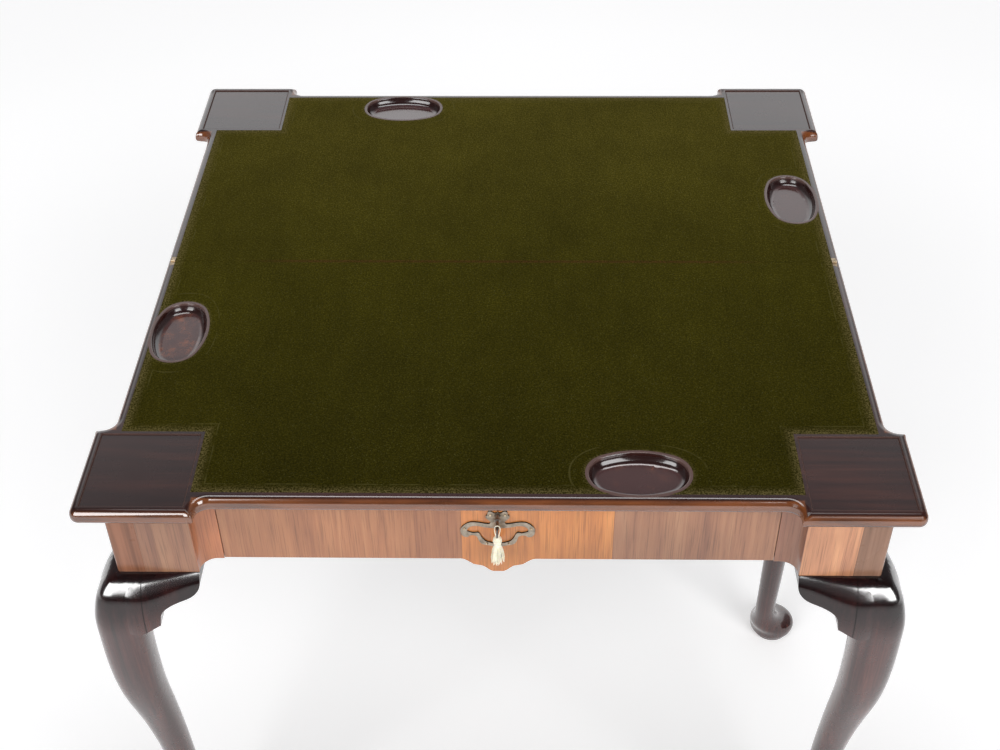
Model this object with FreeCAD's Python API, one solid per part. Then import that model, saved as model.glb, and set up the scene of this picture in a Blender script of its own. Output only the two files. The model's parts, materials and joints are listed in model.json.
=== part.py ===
import FreeCAD, Part
import math
import os

# A fold-over game table, open for play: a baize-lined top of two leaves on a veneered frame
# with a drawer, three fixed cabriole legs and a fourth that swings out to carry the flap.
# Lengths are in millimetres. The origin is on the floor under the middle of the open top,
# X runs to the right of a person at the drawer, Y away from them and Z up.

# The whole table
top_height = 712.0
leaf_half_width = 430.0
leaf_depth = 422.0
leaf_thickness = 18.0
corner_square = 115.0
edge_setback = 20.0
corner_round = 3.0
leaf_gap = 0.3
fold_gap = 0.6

# Moulded edge of the leaves
nose_projection = 6.0
nose_top_radius = 8.5
nose_bottom_radius = 7.0
border_lip = 5.0
side_lip = 4.2

# Baize, candle stands and counter wells
baize_recess = 1.2
baize_thickness = 1.0
stand_depth = 1.4
stand_inner_lip = 4.0
stand_edge_round = 0.5
well_length = 112.0
well_width = 68.6
well_end_radius = 29.0
well_rim = 4.0
well_depth = 10.5
well_floor_radius = 10.0
well_lip_round = 1.2
well_edge_gap = 0.6
front_well_offset = 147.0
side_well_offset = 137.5

# Leaf hinges at the two ends of the folding line
hinge_inset = 0.2
hinge_width = 5.2
hinge_plate_length = 8.0
hinge_plate_thickness = 2.4
hinge_knuckle_radius = 1.8
hinge_pin_radius = 0.8
hinge_pin_clearance = 0.05
hinge_knuckle_gap = 0.2
hinge_groove_clearance = 0.3
hinge_screw_radius = 0.9
hinge_screw_head_radius = 1.9
hinge_screw_head_depth = 1.1
hinge_screw_length = 10.0

# Frame under the top
frieze_inset = 19.0
frieze_depth = 100.0
corner_block = 89.0
return_radius = 17.0
return_flat = 7.0
front_return_depth = 43.0
side_rail_thickness = 22.0
cross_rail_thickness = 18.0
cross_rail_width = 35.0
inner_rail_setback = 57.0
spacer_width = 40.0
spacer_edge = 20.0
glue_block_size = 18.0
glue_block_length = 60.0
fixing_screw_radius = 2.0
fixing_screw_head_radius = 4.0
fixing_screw_head_depth = 2.5
fixing_screw_cover = 1.5

# Legs
leg_post = 31.0
post_round = 3.5
knee_drop = 74.0
knee_reach = 33.2
knee_width = 56.0
ankle_height = 100.0
ankle_reach = 0.6
ankle_width = 29.4
foot_rise = 68.0
foot_height = 18.0
foot_reach = 36.4
foot_diameter = 66.4
foot_ring_diameter = 54.0
foot_ring_height = 5.5
ear_height = 62.0
wing_inset = 23.0
wing_sink = 0.1
ear_end_bulge = 10.0

# Swinging gate
gate_edge_gap = 25.0
fly_rail_thickness = 22.0
fly_rail_back = 3.0
fly_rail_clearance = 2.0
knuckle_count = 5
knuckle_play = 0.4
knuckle_side_gap = 1.0
knuckle_pin_radius = 3.0
knuckle_pin_clearance = 0.05
gate_post_gap = 2.0
gate_top_gap = 0.6
gate_ear_gap = 0.5

# Drawer
drawer_side_gap = 0.8
drawer_top_gap = 1.0
drawer_back_gap = 0.3
drawer_raise = 2.0
drawer_front_thickness = 22.7
veneer_thickness = 1.5
apron_drop = 20.3
apron_half_width = 43.0
drawer_side_inset = 14.0
drawer_board = 10.0
drawer_back_room = 35.3
drawer_bottom_thickness = 6.0
drawer_bottom_raise = 5.0
drawer_groove = 5.0
drawer_slide_gap = 0.3
drawer_headroom = 1.0
tail_depth = 12.0
tail_height = 13.0
tail_slope = 2.0
tail_count = 3
runner_width = 36.0
guide_gap = 0.5
guide_height = 18.0

# Lock, key and escutcheon
key_drop = 46.0
lock_half_width = 30.0
lock_below_key = 13.0
lock_depth = 11.9
lock_wall = 1.5
lock_cap_thickness = 1.1
lock_cap_margin = 8.0
lock_fit = 0.1
lock_screw_radius = 1.2
lock_screw_length = 9.5
bolt_half_width = 12.0
bolt_thickness = 3.5
bolt_travel = 7.5
bolt_play = 0.3
bolt_foot_gap = 5.5
keyhole_radius = 3.1
keyhole_slot_width = 3.0
keyhole_length = 14.0
key_shank_radius = 2.5
key_collar_radius = 3.4
key_collar_length = 2.2
key_collar_stand = 6.0
key_neck_radius = 1.8
key_neck_length = 11.0
key_bow_width = 13.0
key_bow_length = 10.5
key_bow_thickness = 2.2
key_bow_bar = 2.0
key_bow_round = 0.8
key_bit_length = 8.0
key_bit_width = 4.0
key_bit_thickness = 2.4
plate_thickness = 1.6
plate_half_width = 39.5
plate_height = 57.0
plate_top_rise = 6.1
plate_pin_radius = 0.8
plate_pin_head_radius = 1.5
plate_pin_length = 8.0

# Silk tassel on the neck of the key
tassel_stand = 19.0
cord_radius = 0.6
tassel_head_radius = 5.2
tassel_head_height = 10.5
tassel_head_drop = 14.0
tassel_waist_radius = 3.9
tassel_waist_height = 2.4
tassel_skirt_length = 28.5
tassel_skirt_radius = 8.0

# Overrun of every cutting tool past the face that it cuts, and the tolerance for picking edges
cut_overrun = 1.0
edge_match = 0.1

# Sizes worked out from the ones above
leaf_bottom = top_height - leaf_thickness
fixing_screw_grip = leaf_thickness - well_depth - fixing_screw_cover
frieze_bottom = leaf_bottom - frieze_depth
main_half_width = leaf_half_width - edge_setback
main_depth = leaf_depth - edge_setback
block_face_x = leaf_half_width - frieze_inset
block_face_y = leaf_depth - frieze_inset
rail_face_x = main_half_width - frieze_inset
front_face_y = main_depth - frieze_inset
rail_inner_x = rail_face_x - side_rail_thickness
front_rail_y = block_face_y - front_return_depth
inner_rail_front = inner_rail_setback + cross_rail_thickness
drawer_opening_half = block_face_x - corner_block - return_radius - return_flat
hinge_axis_z = top_height + fold_gap / 2
fly_rail_centre = fly_rail_back + fly_rail_thickness / 2
gate_pivot_x = main_depth - gate_edge_gap + fly_rail_centre - block_face_x
side_rail_end = leg_post + gate_post_gap
key_axis_z = top_height - key_drop
drawer_front_back = front_rail_y + drawer_back_gap
drawer_length = drawer_front_back - inner_rail_front - drawer_back_room
drawer_front_top = leaf_bottom - drawer_top_gap
drawer_front_bottom = frieze_bottom + drawer_raise
drawer_half_width = drawer_opening_half - drawer_side_gap
drawer_side_x = drawer_opening_half - drawer_side_inset
drawer_box_bottom = frieze_bottom + cross_rail_thickness + drawer_slide_gap
drawer_box_top = leaf_bottom - cross_rail_thickness - drawer_headroom
lock_back = drawer_front_back + lock_cap_thickness
lock_front = lock_back + lock_depth
lock_bottom = key_axis_z - lock_below_key
neck_start = front_face_y + plate_thickness + key_collar_stand + key_collar_length
bow_start = neck_start + key_neck_length
tassel_y = front_face_y + tassel_stand

vec = FreeCAD.Vector
origin = vec(0, 0, 0)
x_axis = vec(1, 0, 0)
y_axis = vec(0, 1, 0)
z_axis = vec(0, 0, 1)


# Helpers

def block(x_low, x_high, y_low, y_high, z_low, z_high):
    """A box between two corners."""
    return Part.makeBox(x_high - x_low, y_high - y_low, z_high - z_low, vec(x_low, y_low, z_low))


def rod(radius, start, end):
    """A round bar between two points."""
    run = end - start
    return Part.makeCylinder(radius, run.Length, start, run)


def line(start, end):
    return Part.LineSegment(start, end).toShape()


def arc(start, centre, end):
    """The shorter arc from start to end about centre."""
    middle = (start + end) / 2 - centre
    middle.normalize()
    return Part.Arc(start, centre + middle * (start - centre).Length, end).toShape()


def smooth(points):
    """An open smooth curve through points."""
    curve = Part.BSplineCurve()
    curve.interpolate(points)
    return curve.toShape()


def prism(edges, run):
    """The closed outline made by edges, pushed along run."""
    return Part.Face(Part.Wire(edges)).extrude(run)


def polygon(points, run):
    """A straight-sided outline pushed along run."""
    return Part.Face(Part.makePolygon(points + points[:1])).extrude(run)


def one_solid(shape):
    """The largest solid of a shape, with its split faces joined."""
    return max(shape.removeSplitter().Solids, key=lambda solid: solid.Volume)


def flip_x(shape):
    return shape.mirror(origin, x_axis)


def flip_y(shape):
    return shape.mirror(origin, y_axis)


def turned(shape, base, axis, degrees):
    copy = shape.copy()
    copy.rotate(base, axis, degrees)
    return copy


def moved(shape, x=0, y=0, z=0):
    copy = shape.copy()
    copy.translate(vec(x, y, z))
    return copy


# The two leaves of the top

def half_edge(grow):
    """Left half of the front leaf's outline, from the hinge line to the middle of the front."""
    square_back = leaf_depth - corner_square
    square_side = leaf_half_width - corner_square
    side_centre = vec(-leaf_half_width, edge_setback - square_back, 0)
    front_centre = vec(edge_setback - square_side, -leaf_depth, 0)
    corner_centre = vec(corner_round - leaf_half_width, corner_round - leaf_depth, 0)
    radius = edge_setback - grow
    corner = corner_round + grow
    stops = [
        vec(-main_half_width - grow, 0, 0),
        side_centre + vec(radius, 0, 0),
        side_centre + vec(0, -radius, 0),
        vec(-leaf_half_width - grow, grow - square_back, 0),
        corner_centre + vec(-corner, 0, 0),
        corner_centre + vec(0, -corner, 0),
        vec(grow - square_side, -leaf_depth - grow, 0),
        front_centre + vec(-radius, 0, 0),
        front_centre + vec(0, radius, 0),
        vec(0, -main_depth - grow, 0),
    ]
    curves = {1: side_centre, 4: corner_centre, 7: front_centre}
    edges = []
    for index, (start, end) in enumerate(zip(stops, stops[1:])):
        if index in curves:
            edges.append(arc(start, curves[index], end))
        elif (end - start).Length > 0:
            edges.append(line(start, end))
    return edges


def leaf_slab(grow, z_low, z_high):
    """A full front leaf, grown outwards by a margin, between two heights."""
    left = half_edge(grow)
    right = [edge.mirror(origin, x_axis) for edge in left]
    hinge = line(vec(-main_half_width - grow, 0, 0), vec(main_half_width + grow, 0, 0))
    outline = Part.Wire(Part.__sortEdges__(left + right + [hinge]))
    slab = Part.Face(outline).extrude(vec(0, 0, z_high - z_low))
    return moved(slab, z=z_low)


def round_rim(slab, z_level, radius):
    """Round the slab's edge at one level, but not along the hinge line."""
    rim = []
    for edge in slab.Edges:
        box = edge.BoundBox
        level = abs(box.ZMin - z_level) + abs(box.ZMax - z_level) < edge_match
        if level and box.YMin < -edge_match:
            rim.append(edge)
    return slab.makeFillet(radius, rim)


def oval_edges(length, width, end_radius, z_level):
    """A four-arc oval with its long axis along X: two tight ends and two shallow sides."""
    half_long = length / 2
    half_wide = width / 2
    reach = half_long - end_radius
    side_radius = (reach ** 2 + half_wide ** 2 - end_radius ** 2) / (2 * (half_wide - end_radius))
    side_centre = half_wide - side_radius
    lean = math.atan2(reach, -side_centre)
    join_x = reach + end_radius * math.sin(lean)
    join_y = end_radius * math.cos(lean)
    edges = []
    for sign in (1, -1):
        tip = vec(sign * half_long, 0, z_level)
        crown = vec(0, sign * half_wide, z_level)
        upper = vec(sign * join_x, join_y, z_level)
        lower = vec(sign * join_x, -join_y, z_level)
        edges.append(Part.Arc(lower, tip, upper).toShape())
        left = vec(-join_x, sign * join_y, z_level)
        right = vec(join_x, sign * join_y, z_level)
        edges.append(Part.Arc(left, crown, right).toShape())
    return Part.__sortEdges__(edges)


def oval(inset, z_low, z_high):
    """An upright oval block, the outline of a counter well drawn in by inset."""
    edges = oval_edges(well_length - 2 * inset, well_width - 2 * inset, well_end_radius - inset, z_low)
    return prism(edges, vec(0, 0, z_high - z_low))


def at_wells(shape):
    """A well-shaped tool at both places where the front leaf has a well."""
    front_y = -(main_depth - well_edge_gap - well_width / 2)
    side_x = -(main_half_width - well_edge_gap - well_width / 2)
    upright = turned(shape, origin, z_axis, 90)
    return [moved(shape, front_well_offset, front_y), moved(upright, side_x, -side_well_offset)]


def well_tool():
    """The hollow of one counter well, with its floor rounded into its wall."""
    floor = top_height - well_depth
    hollow = oval(well_rim, floor, top_height + cut_overrun)
    low = [edge for edge in hollow.Edges if edge.BoundBox.ZMax < floor + edge_match]
    return hollow.makeFillet(well_floor_radius, low)


def stand_tool(sign):
    """The shallow square recess of one candle stand at a front corner."""
    outer = leaf_half_width - side_lip
    inner = leaf_half_width - corner_square + stand_inner_lip
    front = leaf_depth - border_lip
    back = leaf_depth - corner_square + stand_inner_lip
    low, high = sorted((sign * outer, sign * inner))
    return block(low, high, -front, -back, top_height - stand_depth, top_height + cut_overrun)


def is_stand_rim(edge):
    """True for the straight top edges of a candle stand's recess."""
    box = edge.BoundBox
    near = leaf_half_width - corner_square + stand_inner_lip - edge_match
    far = leaf_half_width - side_lip + edge_match
    inside = near < min(abs(box.XMin), abs(box.XMax)) and max(abs(box.XMin), abs(box.XMax)) < far
    front = -leaf_depth + border_lip - edge_match < box.YMin
    back = box.YMax < corner_square - stand_inner_lip - leaf_depth + edge_match
    return inside and front and back


def baize_sheet(z_low, z_high, hinge_side):
    """The cloth's outline on the front leaf: round the corner squares and the wells."""
    side = main_half_width - side_lip
    front = main_depth - border_lip
    square_back = leaf_depth - corner_square
    square_side = leaf_half_width - corner_square
    half = [
        (side, hinge_side),
        (side, -square_back),
        (square_side, -square_back),
        (square_side, -front),
    ]
    points = [vec(x, y, z_low) for x, y in half]
    points += [vec(-x, y, z_low) for x, y in reversed(half)]
    sheet = polygon(points, vec(0, 0, z_high - z_low))
    return sheet.cut(at_wells(oval(0, z_low - cut_overrun, z_high + cut_overrun)))


def plain_leaf():
    """Front leaf in wood, with its moulded edge, baize bed, wells and candle stands."""
    leaf = leaf_slab(nose_projection, leaf_bottom, top_height)
    leaf = round_rim(leaf, top_height, nose_top_radius)
    leaf = round_rim(leaf, leaf_bottom, nose_bottom_radius)
    tools = [baize_sheet(top_height - baize_recess, top_height + cut_overrun, cut_overrun)]
    tools += at_wells(well_tool())
    tools += [stand_tool(sign) for sign in (-1, 1)]
    leaf = one_solid(leaf.cut(tools))
    top_edges = [edge for edge in leaf.Edges if edge.BoundBox.ZMin > top_height - edge_match]
    round_edges = [edge for edge in top_edges if edge.Curve.TypeId == "Part::GeomCircle"]
    leaf = leaf.makeFillet(well_lip_round, [edge for edge in round_edges if is_well_rim(edge)])
    top_edges = [edge for edge in leaf.Edges if edge.BoundBox.ZMin > top_height - edge_match]
    leaf = leaf.makeFillet(stand_edge_round, [edge for edge in top_edges if is_stand_rim(edge)])
    return leaf.cut(block(-leaf_half_width, leaf_half_width, -leaf_gap / 2, leaf_depth, 0, 2 * top_height))


def is_well_rim(edge):
    """True for the arcs round the inside of a well's rim."""
    tight = well_end_radius - well_rim
    radius = edge.Curve.Radius
    shallow = oval_side_radius() - well_rim
    return min(abs(radius - tight), abs(radius - shallow)) < edge_match


def oval_side_radius():
    reach = well_length / 2 - well_end_radius
    half_wide = well_width / 2
    return (reach ** 2 + half_wide ** 2 - well_end_radius ** 2) / (2 * (half_wide - well_end_radius))


def back_leaf(shape):
    """A front leaf's piece turned round to be the flap's."""
    return turned(shape, origin, z_axis, 180)


# Leaf hinges

hinge_low_x = main_half_width - side_lip + hinge_inset
hinge_high_x = hinge_low_x + hinge_width


def hinge_spans():
    """Outer, middle and outer stretch of the knuckle along X."""
    third = (hinge_width - 2 * hinge_knuckle_gap) / 3
    starts = [hinge_low_x + index * (third + hinge_knuckle_gap) for index in range(3)]
    return [(start, start + third) for start in starts]


def hinge_rod(radius, span):
    return rod(radius, vec(span[0], 0, hinge_axis_z), vec(span[1], 0, hinge_axis_z))


def hinge_groove():
    """Room for the knuckles in the edges of both leaves."""
    span = (hinge_low_x, leaf_half_width)
    return hinge_rod(hinge_knuckle_radius + hinge_groove_clearance, span)


def hinge_seat(depth):
    """The block of space that a hinge plate fills in the front leaf."""
    top = top_height - hinge_plate_thickness
    return block(hinge_low_x, hinge_high_x, -hinge_plate_length, depth, top, top_height)


def hinge_plate(keeps_outer):
    """Brass plate of the front leaf at the right, with its own knuckles."""
    plate = hinge_seat(-leaf_gap / 2)
    outer, middle, other = hinge_spans()
    own = [outer, other] if keeps_outer else [middle]
    foreign = [middle] if keeps_outer else [outer, other]
    clear = hinge_knuckle_radius + hinge_groove_clearance
    for low, high in foreign:
        span = (low - hinge_knuckle_gap, high + hinge_knuckle_gap)
        plate = plate.cut(hinge_rod(clear, span))
    bore = hinge_pin_radius if keeps_outer else hinge_pin_radius + hinge_pin_clearance
    for span in own:
        plate = plate.fuse(hinge_rod(hinge_knuckle_radius, span))
    plate = plate.cut(hinge_rod(bore, (hinge_low_x - cut_overrun, hinge_high_x + cut_overrun)))
    return one_solid(plate.cut(hinge_screw()))


def hinge_screw():
    """Countersunk screw through the plate of the front leaf at the right."""
    x = (hinge_low_x + hinge_high_x) / 2
    y = -(hinge_plate_length + hinge_knuckle_radius) / 2
    top = vec(x, y, top_height)
    head = Part.makeCone(hinge_screw_head_radius, hinge_screw_radius, hinge_screw_head_depth, top, -z_axis)
    return head.fuse(rod(hinge_screw_radius, top, top - z_axis * hinge_screw_length))


def both_sides(shape):
    return [shape, flip_x(shape)]


# Legs, in their own frame: the post's outer corner at zero, outwards along -X and -Y

def rounded_section(height, reach, width, squareness):
    """A closed cross-section between a circle, squareness 2, and a square."""
    half = width / 2
    centre = half - reach
    count = 24
    points = []
    for index in range(count):
        angle = math.pi / 4 + 2 * math.pi * index / count
        across = abs(math.cos(angle)) ** squareness + abs(math.sin(angle)) ** squareness
        radius = half / across ** (1 / squareness)
        points.append(vec(centre + radius * math.cos(angle), centre + radius * math.sin(angle), height))
    curve = Part.BSplineCurve()
    curve.interpolate(Points=points, PeriodicFlag=True)
    return Part.Wire(curve.toShape())


def between(low, high, share):
    return low + (high - low) * share


# Shares of the way up the foot, from ankle to foot in reach and in width
foot_shares = [
    (0.00, 0.84, 0.72, 2.0),
    (0.40, 0.97, 0.95, 2.0),
    (1.00, 1.00, 1.00, 2.0),
]
spring_shares = [
    (0.20, 0.72, 0.76, 2.0),
    (0.40, 0.37, 0.40, 2.0),
    (0.64, 0.13, 0.13, 2.0),
    (1.00, 0.00, 0.00, 2.0),
]
# Shares of the way from ankle to knee, in height, reach and width, with the squareness
shank_shares = [
    (0.00, 0.00, 0.00, 2.0),
    (0.167, 0.08, 0.09, 2.0),
    (0.333, 0.205, 0.205, 2.15),
    (0.476, 0.385, 0.345, 2.3),
    (0.595, 0.605, 0.525, 2.4),
    (0.714, 0.86, 0.745, 2.5),
    (0.833, 0.985, 0.88, 2.6),
    (1.00, 1.00, 1.00, 2.8),
]
# Shares of the way from knee to post, in height, then of the knee's reach and width
shoulder_shares = [
    (0.30, 0.965, 1.08, 3.1),
    (0.54, 0.86, 1.07, 3.6),
    (0.74, 0.71, 0.91, 4.4),
    (0.905, 0.46, 0.565, 5.6),
    (1.00, 0.09, 0.08, 8.0),
]


def leg_sections():
    """Cross-sections of the leg from the floor ring up to the frieze."""
    knee_height = frieze_bottom - knee_drop
    rows = []
    for share, reach, width, square in foot_shares:
        height = between(foot_ring_height, foot_height, share)
        rows.append((height, between(ankle_reach, foot_reach, reach),
                     between(ankle_width, foot_diameter, width), square))
    for share, reach, width, square in spring_shares:
        height = between(foot_height, foot_rise, share)
        rows.append((height, between(ankle_reach, foot_reach, reach),
                     between(ankle_width, foot_diameter, width), square))
    for share, reach, width, square in shank_shares:
        height = between(ankle_height, knee_height, share)
        rows.append((height, between(ankle_reach, knee_reach, reach),
                     between(ankle_width, knee_width, width), square))
    for share, reach, width, square in shoulder_shares:
        height = between(knee_height, frieze_bottom, share)
        rows.append((height, knee_reach * reach, between(leg_post, knee_width, width), square))
    return rows


def leg_front(x, height):
    """How far the leg stands out in front of the block's face, at x from the post's corner."""
    rows = leg_sections()
    low = max((row for row in rows[:-1] if row[0] <= height), key=lambda row: row[0])
    high = min((row for row in rows if row[0] > low[0]), key=lambda row: row[0])
    share = (height - low[0]) / (high[0] - low[0])
    reach, width, squareness = [between(a, b, share) for a, b in zip(low[1:], high[1:])]
    half = width / 2
    aside = min(abs(x - half + reach) / half, 1)
    return reach - half + half * (1 - aside ** squareness) ** (1 / squareness)


# Shares of the ear's height, and of its end bulge at that height
ear_end_shares = [(0.0, 0.08), (0.11, 0.62), (0.31, 1.0), (0.55, 1.1), (0.84, 0.8), (1.1, 0.5)]
# Shares of the run from the seam to the ear's end, and of the bulge left there
ear_run_shares = [(0.0, 0.95), (0.28, 0.72), (0.62, 0.36), (1.0, 0.0)]
# Lower outline of the ear, in shares of its length and of its height
ear_outline_shares = [
    (1.0, 0.155), (0.95, 0.30), (0.815, 0.42), (0.62, 0.475), (0.43, 0.53), (0.295, 0.61), (0.235, 0.72),
]
ear_tail_shares = [(0.20, 0.935), (0.10, 0.97), (-0.02, 1.03), (-0.4, 1.07)]


def wing_section(x, profile):
    """Cross-section of the knee's wing at one place along it, from its bulges."""
    top = frieze_bottom
    front = [vec(x, -bulge, top - ear_height * share) for share, bulge in profile]
    back_low = vec(x, leg_post, front[-1].z)
    back_high = vec(x, leg_post, top)
    edges = [smooth(front), line(front[-1], back_low), line(back_low, back_high), line(back_high, front[0])]
    return Part.Wire(edges)


def knee_wing():
    """The knee's swelling carried along +X under the corner block, cut to the ear's outline."""
    run = corner_block - leg_post
    start = leg_post - wing_inset
    root = [leg_front(start, frieze_bottom - ear_height * share) - wing_sink for share, _ in ear_end_shares]
    wires = [wing_section(start, [(row[0], bulge) for row, bulge in zip(ear_end_shares, root)])]
    for along, left in ear_run_shares:
        profile = [(row[0], between(row[1] * ear_end_bulge, bulge, left))
                   for row, bulge in zip(ear_end_shares, root)]
        wires.append(wing_section(leg_post + run * along, profile))
    body = Part.makeLoft(wires, True, False)
    curve = [vec(leg_post + run * a, 0, frieze_bottom - ear_height * b) for a, b in ear_outline_shares]
    tail = [vec(leg_post + run * a, 0, frieze_bottom - ear_height * b) for a, b in ear_tail_shares]
    high_left = vec(tail[-1].x, 0, frieze_bottom)
    high_right = vec(corner_block, 0, frieze_bottom)
    edges = [line(high_right, curve[0]), smooth(curve), line(curve[-1], tail[0]), smooth(tail),
             line(tail[-1], high_left), line(high_left, high_right)]
    shape = prism(edges, vec(0, 2 * knee_width, 0))
    shape.translate(vec(0, -knee_width, 0))
    return body.common(shape)


def across(shape):
    """A piece on the leg's front face, carried over to its side face."""
    return shape.mirror(origin, vec(1, -1, 0))


def leg(post_top, wings):
    """A cabriole leg with its pad foot, floor ring, square post and the roots of its wings."""
    wires = [rounded_section(*row) for row in leg_sections()]
    shank = Part.makeLoft(wires, True, False)
    post = block(0, leg_post, 0, leg_post, frieze_bottom, post_top)
    outer = [edge for edge in post.Edges if max(edge.BoundBox.XMax, edge.BoundBox.YMax) < edge_match]
    post = post.makeFillet(post_round, outer)
    centre = foot_diameter / 2 - foot_reach
    base = vec(centre, centre, 0)
    ring = Part.makeCylinder(foot_ring_diameter / 2, foot_height, base)
    seam = block(-knee_width, leg_post, -knee_width, leg_post, 0, frieze_bottom)
    head = post
    for wing in wings:
        head = head.fuse(wing.common(seam))
    return one_solid(shank.fuse(head).fuse(ring))


def front_ear(wing, top_gap):
    """The shaped bracket glued on at the seam, the part of the wing beyond the leg."""
    keep = block(leg_post, corner_block, -knee_width, leg_post, 0, frieze_bottom - top_gap)
    return one_solid(wing.common(keep))


def gate_turn(shape):
    """Swing a piece from the closed gate to the open gate."""
    return turned(shape, vec(gate_pivot_x, -fly_rail_centre, 0), z_axis, -90)


# Frame pieces

def cove_return(length, face_depth, thickness):
    """Plan outline of a block with a hollow end: face along X at y=0, wood towards +Y."""
    lead = face_depth - return_radius
    face_end = vec(length, 0, 0)
    cove_start = vec(length, lead, 0)
    cove_end = vec(length + return_radius, face_depth, 0)
    centre = vec(length + return_radius, lead, 0)
    back_right = vec(length + return_radius, thickness, 0)
    back_left = vec(0, thickness, 0)
    edges = [line(origin, face_end), line(face_end, cove_start), arc(cove_start, centre, cove_end)]
    if thickness > face_depth:
        edges.append(line(cove_end, back_right))
    edges += [line(back_right, back_left), line(back_left, origin)]
    return edges


def front_return():
    """Left block beside the drawer: corner face, hollow and the narrow flat next to the drawer."""
    face = corner_block - leg_post
    body = prism(cove_return(face, edge_setback, front_return_depth), vec(0, 0, frieze_depth))
    body.translate(vec(leg_post - block_face_x, -block_face_y, frieze_bottom))
    flat_start = -block_face_x + corner_block + return_radius
    flat = block(flat_start, -drawer_opening_half, -front_face_y, -front_rail_y, frieze_bottom, leaf_bottom)
    notch = block(-block_face_x, -rail_inner_x, leg_post - block_face_y, 0, 0, top_height)
    return one_solid(body.fuse(flat).cut(notch))


def side_block(start):
    """Left block on a side rail, from start towards the middle, seen from the block's face."""
    face = corner_block - start
    body = prism(cove_return(face, edge_setback, edge_setback), vec(0, 0, frieze_depth))
    body.rotate(origin, z_axis, 90)
    body = flip_x(body)
    body.translate(vec(-block_face_x, start, frieze_bottom))
    return body


def cross_rail(z_low):
    return block(-rail_inner_x, rail_inner_x, -front_rail_y, cross_rail_width - front_rail_y,
                 z_low, z_low + cross_rail_thickness)


def side_rail(rear_end):
    """Left side rail between the front post and the rear corner."""
    return block(-rail_face_x, -rail_inner_x, leg_post - block_face_y, -rear_end, frieze_bottom, leaf_bottom)


fly_low = frieze_bottom + fly_rail_clearance


def inner_rail():
    return block(-rail_inner_x, rail_inner_x, -inner_rail_front, -inner_rail_setback,
                 frieze_bottom, leaf_bottom)


def knuckle_levels():
    """Heights of the knuckle's fingers, from the bottom up."""
    step = (leaf_bottom - gate_top_gap - fly_low) / knuckle_count
    return [(fly_low + index * step, fly_low + (index + 1) * step) for index in range(knuckle_count)]


def fingers(levels, towards, play):
    """Rounded fingers about the gate's pivot, reaching along X towards a rail."""
    half = fly_rail_thickness / 2
    reach = towards * (half + knuckle_side_gap)
    low, high = sorted((0, reach))
    pieces = []
    for bottom, top in levels:
        bottom += play
        top -= play
        tube = rod(half, vec(0, 0, bottom), vec(0, 0, top))
        pieces.append(tube.fuse(block(low, high, -half, half, bottom, top)))
    return [moved(piece, gate_pivot_x, -fly_rail_centre) for piece in pieces]


def pivot_rod(radius, z_low, z_high):
    centre = vec(gate_pivot_x, -fly_rail_centre, 0)
    return rod(radius, centre + z_axis * z_low, centre + z_axis * z_high)


fly_high = leaf_bottom - gate_top_gap
knuckle_reach = fly_rail_thickness / 2 + knuckle_side_gap
fly_front = fly_rail_back + fly_rail_thickness


def fixed_fly_rail():
    body = block(gate_pivot_x + knuckle_reach, block_face_x - leg_post, -fly_front, -fly_rail_back,
                 fly_low, fly_high)
    rail = body.fuse(fingers(knuckle_levels()[0::2], 1, 0))
    return one_solid(rail.cut(pivot_rod(knuckle_pin_radius, 0, top_height)))


def gate_rail():
    """Swinging half of the rear rail, in the closed position."""
    body = block(leg_post - block_face_x, gate_pivot_x - knuckle_reach, -fly_front, -fly_rail_back,
                 fly_low, fly_high)
    rail = body.fuse(fingers(knuckle_levels()[1::2], -1, knuckle_play))
    bore = pivot_rod(knuckle_pin_radius + knuckle_pin_clearance, 0, top_height)
    return one_solid(rail.cut(bore))


def fly_rail_spacers():
    """Blocks that hold the fixed fly rail off the inner rail."""
    places = (spacer_edge, rail_inner_x - spacer_edge - spacer_width)
    return [block(x, x + spacer_width, -inner_rail_setback, -fly_front, fly_low, fly_high) for x in places]


def glue_block_places():
    """Low corners, in plan, of the blocks under the fixed leaf, with their sizes."""
    size, length = glue_block_size, glue_block_length
    front = cross_rail_width - front_rail_y + size
    rear = -inner_rail_front - 2 * size - length
    across = rail_inner_x / 2 - length
    places = []
    for sign in (-1, 1):
        x = sign * (rail_inner_x - size / 2) - size / 2
        places += [(x, front, size, length), (x, rear, size, length)]
        places.append((sign * (across + length / 2) - length / 2, -inner_rail_front - size, length, size))
    return places


def glue_blocks():
    low = leaf_bottom - glue_block_size
    return [block(x, x + wide, y, y + deep, low, leaf_bottom) for x, y, wide, deep in glue_block_places()]


def fixing_screws():
    """A screw up through each glue block into the fixed leaf."""
    low = leaf_bottom - glue_block_size
    screws = []
    for x, y, wide, deep in glue_block_places():
        foot = vec(x + wide / 2, y + deep / 2, low)
        head = Part.makeCone(fixing_screw_head_radius, fixing_screw_radius, fixing_screw_head_depth, foot)
        shank = rod(fixing_screw_radius, foot, foot + z_axis * (glue_block_size + fixing_screw_grip))
        screws.append(head.fuse(shank))
    return screws


def runner():
    """Left runner under the drawer side, with the guide beside it."""
    outer = -drawer_opening_half
    back = -inner_rail_front
    front = cross_rail_width - front_rail_y
    level = frieze_bottom + cross_rail_thickness
    bed = block(outer, outer + runner_width, front, back, frieze_bottom, level)
    guide = block(outer, -drawer_side_x - guide_gap, front, back, level, level + guide_height)
    return one_solid(bed.fuse(guide))


def kicker():
    """Left bar above the drawer side that keeps the open drawer from tipping."""
    outer = -drawer_opening_half
    return block(outer, outer + runner_width, cross_rail_width - front_rail_y, -inner_rail_front,
                 leaf_bottom - cross_rail_thickness, leaf_bottom)


# Drawer

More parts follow.
